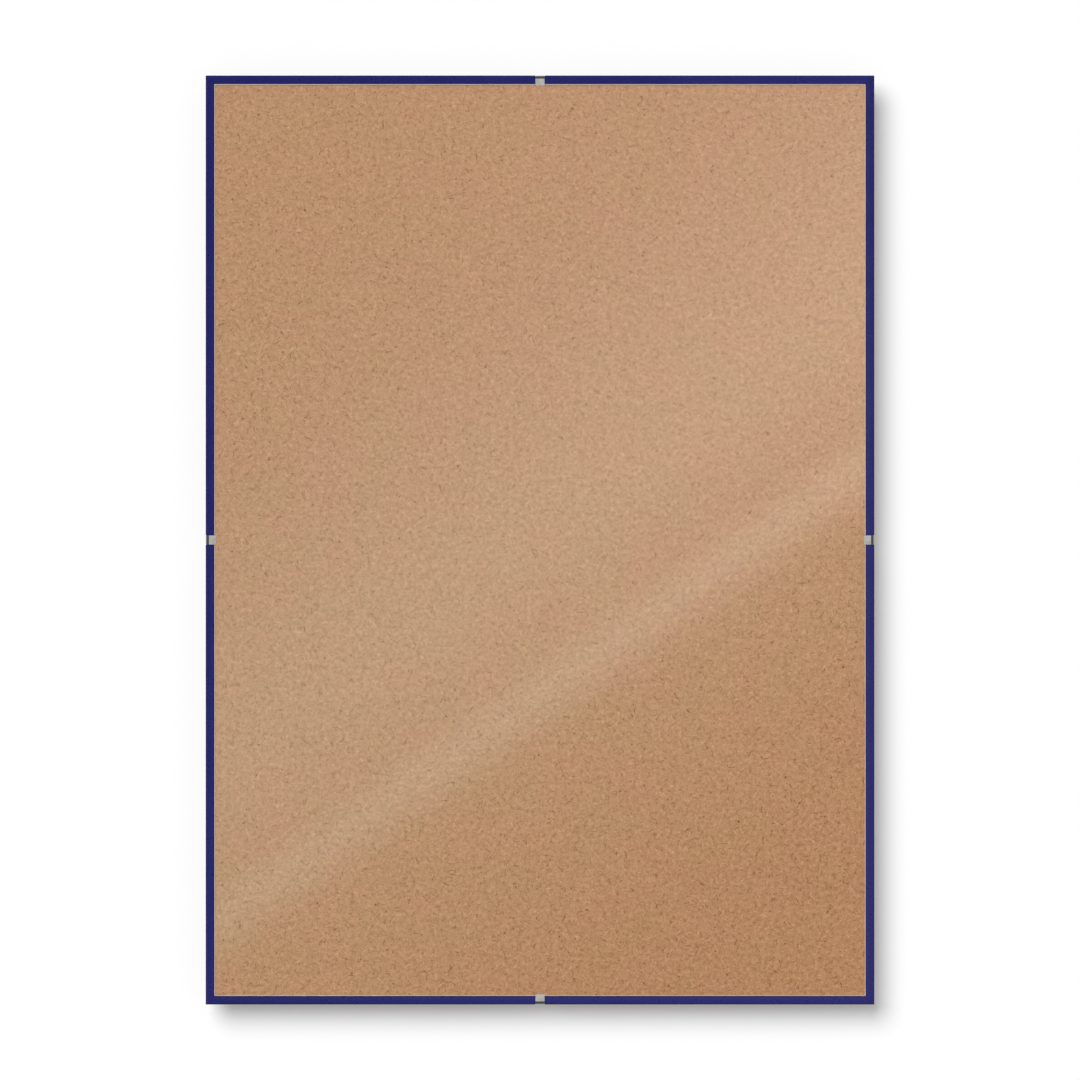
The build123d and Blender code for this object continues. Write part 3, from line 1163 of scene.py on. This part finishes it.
@dataclass
class SpringClips:
    """The four clips, each bent from one strip of spring steel.

    The path of the sheet's middle runs from the lip's end over the front bend and the rear bend
    to the bowed leg, and over the heel to the tail's end in the board.
    """

    thickness: float = 0.5 * MM
    width: float = 7.0 * MM
    lip_corner: float = 0.6 * MM
    lip_corner_steps: int = 6
    tail_width: float = 4.6 * MM
    tail_depth: float = 5.4 * MM
    edge: float = 0.08 * MM
    lip_end: Corner = Corner(8.1 * MM, -0.3 * MM)
    front_bend: Corner = Corner(0.3 * MM, -0.3 * MM, radius=2.75 * MM, steps=10)
    rear_bend: Corner = Corner(0.3 * MM, 8.65 * MM, radius=1.15 * MM, steps=8)
    bow: Corner = Corner(10.45 * MM, 7.725 * MM, radius=30.0 * MM, steps=4)
    heel: Corner = Corner(20.6 * MM, 5.7 * MM, radius=0.55 * MM, steps=6)
    tail_end: Corner = Corner(21.2 * MM, 3.3 * MM)

    def __post_init__(self) -> None:
        """Places the top clip's path, and finds where its tail begins."""
        top = CAD_BOX[1].z
        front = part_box("front_pane")[0].y
        self.path = (self.lip_end, self.front_bend, self.rear_bend, self.bow, self.heel, self.tail_end)
        self.points = [Vector((0.0, front + corner.back, top - corner.inward)) for corner in self.path]
        self.middle = (self.points[0].z + self.points[-1].z) / 2
        self.shoulder = front + self.tail_depth

    def bend(self, clip: bpy.types.Object) -> None:
        """Rounds the strip's corners to their bending radii.

        Args:
            clip: The flat strip along the path.
        """
        bends = zip(self.path[1:-1], self.points, self.points[1:], self.points[2:])
        with Bench.editing(clip):
            for corner, before, here, after in bends:
                turn = (here - before).angle(after - here)
                setback = corner.radius * math.tan(turn / 2)
                Bench.pick_line(clip, here)
                bpy.ops.mesh.bevel(offset=setback, segments=corner.steps, affect="EDGES", clamp_overlap=True)

    def is_inner(self, face: bmesh.types.BMFace) -> bool:
        """True for a face of the leg's inner half."""
        return face.calc_center_median().z < self.middle

    def is_tail(self, face: bmesh.types.BMFace) -> bool:
        """True for a face of the leg's inner half that lies forward of the shoulders."""
        return self.is_inner(face) and face.calc_center_median().y < self.shoulder

    def is_beside_tail(self, face: bmesh.types.BMFace) -> bool:
        """True for a face beside the narrow tail."""
        return self.is_tail(face) and abs(face.calc_center_median().x) > self.tail_width / 2

    def narrow_tail(self, clip: bpy.types.Object) -> None:
        """Cuts the shoulders that narrow the tail.

        Args:
            clip: The bent strip, still without thickness.
        """
        with Bench.editing(clip, "FACE"):
            Bench.pick(clip, "faces", self.is_inner)
            bpy.ops.mesh.bisect(plane_co=(0.0, self.shoulder, 0.0), plane_no=(0.0, 1.0, 0.0))
            for edge in (-self.tail_width / 2, self.tail_width / 2):
                Bench.pick(clip, "faces", self.is_tail)
                bpy.ops.mesh.bisect(plane_co=(edge, 0.0, 0.0), plane_no=(1.0, 0.0, 0.0))
            found = Bench.pick(clip, "faces", self.is_beside_tail)
            bpy.ops.mesh.delete(type="FACE")
        LOG.info("%s: %d faces cut beside its tail", clip.name, found)

    def build(self) -> None:
        """Bends the top clip, copies it to the other sides and dresses each along its length."""
        lip_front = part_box("clip_top")[0].y
        finishes = {grain: ZincSteel(grain, lip_front).material() for grain in Grain}
        first = Bench.strip("spring_clip_top", self.points, self.width)
        self.bend(first)
        Bench.round_end(first, self.points[0], self.lip_corner, self.lip_corner_steps)
        self.narrow_tail(first)
        Bench.thicken(first, self.thickness, self.edge)
        for side in Side:
            clip = first
            if side is not Side.TOP:
                clip = Bench.copy(first, f"spring_clip_{side.label}", side.move())
            dress(clip, finishes[Grain.ALONG_X if side.upright else Grain.ALONG_Z])
            stand_in(clip, f"clip_{side.label}", f"clip_{side.label}")


@dataclass
class RingHangers:
    """The two ring hangers on the back: a strap folded round a wire ring's bar, and its rivet."""

    thickness: float = 0.5 * MM
    width: float = 9.0 * MM
    under_length: float = 19.0 * MM
    fold_length: float = 17.5 * MM
    fold_gap: float = 0.06 * MM
    fold_steps: int = 6
    loop_turn: float = 250.0
    loop_steps: int = 14
    end_radius: float = 4.0 * MM
    end_steps: int = 10
    edge: float = 0.07 * MM
    wire: float = 1.8 * MM
    wire_sides: int = 24
    wire_end_edge: float = 0.15 * MM
    bar_half: float = 5.0 * MM
    corner_radius: float = 2.0 * MM
    corner_steps: int = 8
    crown_steps: int = 32
    leg: float = 2.0 * MM
    joint_gap: float = 0.3 * MM
    running_clearance: float = 0.08 * MM
    rest_clearance: float = 0.1 * MM
    hook_inset: float = 55 * MM
    strap_steel: NickelSteel = NickelSteel(
        "nickel_strap", colour=(0.70, 0.685, 0.65), dull=(0.50, 0.49, 0.465), roughness=(0.38, 0.18)
    )
    wire_steel: NickelSteel = NickelSteel(
        "nickel_wire", colour=(0.74, 0.72, 0.68), dull=(0.58, 0.565, 0.535), roughness=(0.28, 0.12)
    )
    rivet_steel: NickelSteel = NickelSteel(
        "rivet_head", colour=(0.66, 0.65, 0.63), dull=(0.44, 0.435, 0.42), roughness=(0.42, 0.2)
    )

    def __post_init__(self) -> None:
        """Works out where the ring's bar lies and how far the ring leans on the board."""
        eye_radius = self.wire / 2 + self.running_clearance
        self.shoulder = self.corner_radius + self.leg
        reach = self.shoulder + self.bar_half + self.corner_radius
        self.loop_radius = eye_radius + self.thickness / 2
        self.fold_height = self.thickness + self.fold_gap + self.thickness / 2
        self.bar_height = self.thickness + eye_radius
        self.lean = math.asin((self.bar_height - self.wire / 2 - self.rest_clearance) / reach)
        self.bar_foot = -(reach - self.wire / 2) * math.cos(self.lean)

    def strap_path(self) -> list[Vector]:
        """Draws the sheet's middle line: along the board, round the bar, and back on itself.

        Returns:
            The corners of the line.
        """
        turn = math.radians(self.loop_turn)
        points = [(-self.under_length, self.thickness / 2)]
        for step in range(self.loop_steps + 1):
            angle = turn * step / self.loop_steps - math.pi / 2
            height = self.bar_height + self.loop_radius * math.sin(angle)
            points.append((self.loop_radius * math.cos(angle), height))
        slope = turn - math.pi
        loop_end, loop_height = points[-1]
        radius = (loop_height - self.fold_height) / (1.0 - math.cos(slope))
        for step in range(1, self.fold_steps + 1):
            angle = slope * (1.0 - step / self.fold_steps)
            along = loop_end - radius * (math.sin(slope) - math.sin(angle))
            points.append((along, self.fold_height + radius * (1.0 - math.cos(angle))))
        points.append((-self.fold_length, self.fold_height))
        return [Vector((0.0, height, self.bar_foot + along)) for along, height in points]

    def build_strap(self) -> bpy.types.Object:
        """Folds the upright hanger's strap and rounds its two ends.

        Returns:
            The strap.
        """
        path = self.strap_path()
        strap = Bench.strip("folded_strap_upright", path, self.width)
        for end in (path[0], path[-1]):
            Bench.round_end(strap, end, self.end_radius, self.end_steps)
        Bench.thicken(strap, self.thickness, self.edge)
        return strap

    def build_ring(self) -> bpy.types.Object:
        """Bends the upright hanger's ring from one length of wire, and leans it on the board.

        Returns:
            The ring.
        """
        bar = Vector((self.bar_half - self.joint_gap / 2, 0.0, 0.0))
        leg = Vector((0.0, 0.0, self.leg))
        corner = Vector((self.bar_half, 0.0, self.corner_radius))
        far_corner = Vector((-corner.x, 0.0, corner.z))
        crown = Vector((0.0, 0.0, self.shoulder))
        start = {"location": (self.joint_gap / 2, 0.0, 0.0), "rotation": (0.0, math.pi / 2, 0.0)}
        section = {"vertices": self.wire_sides, "radius": self.wire / 2, "fill_type": "NGON"}
        Bench.clear()
        bpy.ops.mesh.primitive_circle_add(**section, **start)
        ring = bpy.context.active_object
        ring.name = ring.data.name = "wire_ring_upright"
        Bench.settle(ring)
        with Bench.editing(ring, "FACE"):
            bpy.ops.mesh.select_all(action="SELECT")
            Bench.push(bar)
            Bench.bend_round(corner, 90.0, self.corner_steps)
            Bench.push(leg)
            Bench.bend_round(crown, 180.0, self.crown_steps)
            Bench.push(-leg)
            Bench.bend_round(far_corner, 90.0, self.corner_steps)
            Bench.push(bar)
            Bench.pick(ring, "faces", lambda face: len(face.verts) == self.wire_sides)
            bpy.ops.mesh.bevel(offset=self.wire_end_edge, segments=Bench.EDGE_STEPS, affect="EDGES")
        ring.location = (0.0, self.bar_height, self.bar_foot)
        ring.rotation_euler = (self.lean, 0.0, 0.0)
        Bench.settle(ring)
        Bench.smooth(ring)
        return ring

    def move(self, hang: Hang) -> Matrix:
        """Works out the way from the upright hanger to another one.

        Args:
            hang: The way to hang that the other one is for.

        Returns:
            The move from the upright hanger's place to the other's.
        """
        low, high = CAD_BOX
        place = Vector((low.x + self.hook_inset, 0.0, (low.z + high.z) / 2))
        return Matrix.Translation(place) @ Matrix.Rotation(math.radians(hang.value), 4, "Y")

    def build(self) -> None:
        """Builds the straps and rings and dresses the steel of both hangers."""
        strap_finish = self.strap_steel.material()
        wire_finish = self.wire_steel.material()
        rivet_finish = self.rivet_steel.material()
        strap = self.build_strap()
        ring = self.build_ring()
        for hang in Hang:
            if hang is not Hang.UPRIGHT:
                strap = Bench.copy(strap, f"folded_strap_{hang.label}", self.move(hang))
                ring = Bench.copy(ring, f"wire_ring_{hang.label}", self.move(hang))
            dress(strap, strap_finish)
            dress(ring, wire_finish)
            dress(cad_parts[f"hanger_rivet_{hang.label}"], rivet_finish)
            stand_in(strap, f"hanger_strap_{hang.label}", "frame")
            stand_in(ring, f"hanger_ring_{hang.label}", f"ring_{hang.label}")


@dataclass(frozen=True)
class Lamp:
    """One broad, far lamp.

    Attributes:
        name: The lamp's name.
        way: The direction from the frame to the lamp.
        strength: How strong it is.
    """

    name: str
    way: Triple
    strength: float


@dataclass
class Studio:
    """Plain soft light, a white wall and floor, and the camera straight in front.

    The gloss values are what polished surfaces mirror of the room: in front of the frame, at its
    sides and behind it, and how much brighter it is above there.
    """

    photo_side: float = 1080.0
    object_width_in_photo: float = 669.0
    camera_distance: float = 4.0
    camera_range: float = 50.0
    sensor: float = 36.0
    wall_gap: float = 17.5 * MM
    wall_side: float = 8.0
    floor_drop: float = 0.45
    floor_depth: float = 6.0
    cove_radius: float = 0.3
    cove_steps: int = 12
    key: Lamp = Lamp("key_lamp", way=(-0.44, -1.0, 0.56), strength=3.04)
    back: Lamp = Lamp("back_lamp", way=(0.5, 1.0, 0.6), strength=2.3)
    lamp_angle: float = 41.0
    world_level: float = 0.26
    gloss_front: float = 0.5
    gloss_side: float = 0.3
    gloss_back: float = 0.76
    gloss_rise: float = 0.35
    front_span: Span = (-0.9, -0.1)
    back_span: Span = (0.2, 0.9)
    card_distance: float = 5.0
    card_margin: float = 1.2
    card_cuts: int = 3

    def __post_init__(self) -> None:
        """Takes the object's middle, front, rear, width and bottom from the frame."""
        low, high = CAD_BOX
        self.middle = (low + high) / 2
        self.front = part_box("front_pane")[0].y
        self.rear = high.y
        self.width = high.x - low.x
        self.bottom = low.z

    def build_sweep(self) -> None:
        """Builds the sweep: a wall close behind the frame that curves out into the floor."""
        floor = self.bottom - self.floor_drop
        centre = (0.0, self.rear + self.wall_gap, floor + self.wall_side / 2)
        sweep = Bench.flat("studio_sweep", (self.wall_side, self.wall_side), centre, Bench.TO_FRONT)
        with Bench.editing(sweep):
            Bench.pick(sweep, "edges", lambda edge: all(vert.co.z < floor + MM for vert in edge.verts))
            Bench.push(Vector((0.0, -self.floor_depth, 0.0)))
            Bench.pick(sweep, "edges", lambda edge: len(edge.link_faces) == 2)
            bpy.ops.mesh.bevel(offset=self.cove_radius, segments=self.cove_steps, affect="EDGES")
        Bench.smooth(sweep)
        with Bench.editing(sweep, "FACE"):
            bpy.ops.mesh.select_all(action="SELECT")
            faces = bmesh.from_edit_mesh(sweep.data).faces
            if max(faces, key=lambda face: face.calc_center_median().z).normal.y > 0:
                bpy.ops.mesh.flip_normals()
        dress(sweep, StudioWhite().material())
        sweep.visible_diffuse = sweep.visible_glossy = sweep.visible_shadow = False

    def build_card(self) -> None:
        """Hangs the reflection card behind the camera, where only polished surfaces show it."""
        low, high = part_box("front_pane")
        scale = 1.0 + self.card_distance / self.camera_distance
        size = (high - low) * scale * self.card_margin
        centre = (self.middle.x, self.front - self.card_distance, self.middle.z)
        card = Bench.flat("reflection_card", (size.x, size.z), centre, Bench.TO_FRONT)
        with Bench.editing(card, "FACE"):
            bpy.ops.mesh.select_all(action="SELECT")
            bpy.ops.mesh.subdivide(number_cuts=self.card_cuts)
        dress(card, SoftboxLight(scale).material())
        card.visible_camera = card.visible_diffuse = card.visible_shadow = False

    def build_lamp(self, lamp: Lamp) -> bpy.types.Object:
        """Sets up one lamp, which polished surfaces don't mirror.

        Args:
            lamp: Its name, direction and strength.

        Returns:
            The lamp's object.
        """
        way = Vector(lamp.way)
        Bench.clear()
        bpy.ops.object.light_add(type="SUN", location=self.middle + way)
        made = bpy.context.active_object
        made.name = made.data.name = lamp.name
        made.rotation_mode = "QUATERNION"
        made.rotation_quaternion = (-way).to_track_quat("-Z", "Y")
        made.data.energy = lamp.strength
        made.data.angle = math.radians(self.lamp_angle)
        made.visible_glossy = False
        return made

    def spare_clip_shadows(self, lamp: bpy.types.Object) -> None:
        """Lets a lamp shine past the clips, whose lips then throw no dark edge on the sheet.

        Args:
            lamp: The object of the lamp in front of the frame.
        """
        spared = bpy.data.collections.new("clips_without_shadow")
        for side in Side:
            spared.objects.link(bpy.data.objects[f"spring_clip_{side.label}"])
        for entry in spared.collection_objects:
            entry.light_linking.link_state = "EXCLUDE"
        lamp.light_linking.blocker_collection = spared

    def build_world(self) -> None:
        """Fills the room: even light on surfaces, white to look at, and duller where it is mirrored."""
        world = bpy.data.worlds.new("studio_world")
        world.use_nodes = True
        bpy.context.scene.world = world
        g = Graph(world.node_tree)
        _, y, z = g.add("SeparateXYZ", {0: g.add("TexCoord").outputs["Generated"]}).outputs
        front = g.span(y, self.front_span, (self.gloss_front, self.gloss_side))
        back = g.math("MULTIPLY_ADD", z, self.gloss_rise, self.gloss_back - self.gloss_side)
        gloss = g.math("ADD", front, g.math("MULTIPLY", g.span(y, self.back_span), back))
        path = g.add("LightPath").outputs
        seen = g.math("MAXIMUM", path["Is Camera Ray"], path["Is Transmission Ray"])
        mirrored = g.math("SUBTRACT", path["Is Glossy Ray"], seen, clamp=True)
        plain = g.math("SUBTRACT", 1.0, g.math("ADD", seen, mirrored), clamp=True)
        level = g.math("MULTIPLY_ADD", mirrored, gloss, seen)
        strength = g.math("MULTIPLY_ADD", plain, self.world_level, level)
        g.show(g.add("Background", {"Color": (1.0, 1.0, 1.0, 1.0), "Strength": strength}), "OutputWorld")

    def build_camera(self) -> None:
        """Sets the camera straight in front, far enough off for the sides to run nearly parallel."""
        Bench.clear()
        place = (self.middle.x, self.front - self.camera_distance, self.middle.z)
        bpy.ops.object.camera_add(location=place, rotation=(math.pi / 2, 0.0, 0.0))
        camera = bpy.context.active_object
        camera.name = camera.data.name = "front_camera"
        view_width = self.width * self.photo_side / self.object_width_in_photo
        camera.data.sensor_width = self.sensor
        camera.data.lens = self.sensor * self.camera_distance / view_width
        camera.data.clip_end = self.camera_range
        bpy.context.scene.camera = camera

    def build(self) -> None:
        """Sets up the stage, the light and the camera."""
        self.build_sweep()
        self.build_card()
        self.spare_clip_shadows(self.build_lamp(self.key))
        self.build_lamp(self.back)
        self.build_world()
        self.build_camera()
        bpy.context.scene.view_settings.view_transform = "Standard"


def main() -> None:
    """Builds and dresses the frame's sub-assemblies, then sets the stage."""
    logging.basicConfig(level=logging.INFO, format="%(name)s: %(message)s")
    for part in (PictureStack(), EdgeStrips(), SpringClips(), RingHangers(), Studio()):
        part.build()
        LOG.info("%s done", type(part).__name__)


if __name__ == "__main__":
    main()
